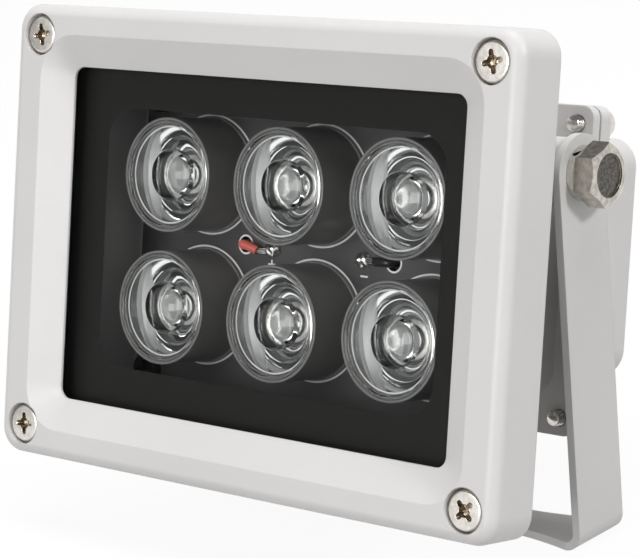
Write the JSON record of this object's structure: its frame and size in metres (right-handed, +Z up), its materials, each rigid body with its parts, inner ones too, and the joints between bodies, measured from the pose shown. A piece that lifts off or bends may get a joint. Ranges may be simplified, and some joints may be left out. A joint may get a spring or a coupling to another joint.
{
  "type": "infrared illuminator",
  "caption": "Infrared illuminator: rectangular lamp head with collimating lenses behind bordered glass, driver box at the rear, tilting on bolts in a folded U bracket.",
  "frame": {"origin": "centre of the underside of the bracket's base, on the face that sits on the wall, pole or ceiling", "axes": "+Z up from the base along the bracket's arms, -Y the way the lamp faces, +X to the right of a person who looks at the lamp's face"},
  "size_m": [0.117, 0.1008, 0.0984],
  "materials": {
    "grey_paint": "light grey textured powder paint",
    "clear_glass": "clear flat glass with a black printed border",
    "black_rubber": "matt silicone rubber",
    "nickel_steel": "nickel-plated steel",
    "dark_board": "dark solder mask on an aluminium board",
    "green_board": "green solder mask",
    "emitter_resin": "clear resin over a pale package",
    "black_plastic": "black moulded plastic",
    "clear_plastic": "clear moulded acrylic",
    "red_pvc": "red insulation",
    "black_pvc": "black insulation",
    "black_nylon": "black nylon",
    "component_black": "black component body"
  },
  "bodies": {
    "bracket": {"bracket": "grey_paint"},
    "lamp_head": {"bezel_screws": "nickel_steel", "black_wire": "black_pvc", "board_screws": "nickel_steel", "cable_gland_body": "black_nylon", "cable_gland_locknut": "black_nylon", "cable_gland_nut": "black_nylon", "cable_gland_seal": "black_rubber", "cover_gasket": "black_rubber", "cover_screws": "nickel_steel", "driver_board": "green_board", "driver_capacitor": "component_black", "driver_chip": "component_black", "driver_inductor": "component_black", "driver_screws": "nickel_steel", "front_bezel": "grey_paint", "front_glass": "clear_glass", "glass_gasket": "black_rubber", "housing": "grey_paint", "led_1": "emitter_resin", "led_2": "emitter_resin", "led_3": "emitter_resin", "led_4": "emitter_resin", "led_5": "emitter_resin", "led_6": "emitter_resin", "led_board": "dark_board", "lens_1": "clear_plastic", "lens_2": "clear_plastic", "lens_3": "clear_plastic", "lens_4": "clear_plastic", "lens_5": "clear_plastic", "lens_6": "clear_plastic", "lens_holder_1": "black_plastic", "lens_holder_2": "black_plastic", "lens_holder_3": "black_plastic", "lens_holder_4": "black_plastic", "lens_holder_5": "black_plastic", "lens_holder_6": "black_plastic", "pivot_bolt_left": "nickel_steel", "pivot_bolt_right": "nickel_steel", "rear_cover": "grey_paint", "red_wire": "red_pvc", "spring_washer_left": "nickel_steel", "spring_washer_right": "nickel_steel"}
  },
  "joints": [
    {"name": "head_tilt", "type": "hinge", "parent": "bracket", "child": "lamp_head", "pos_m": [0, 0, 0.0679], "axis": [-1, 0, 0], "range_deg": [-13, 173]}
  ]
}
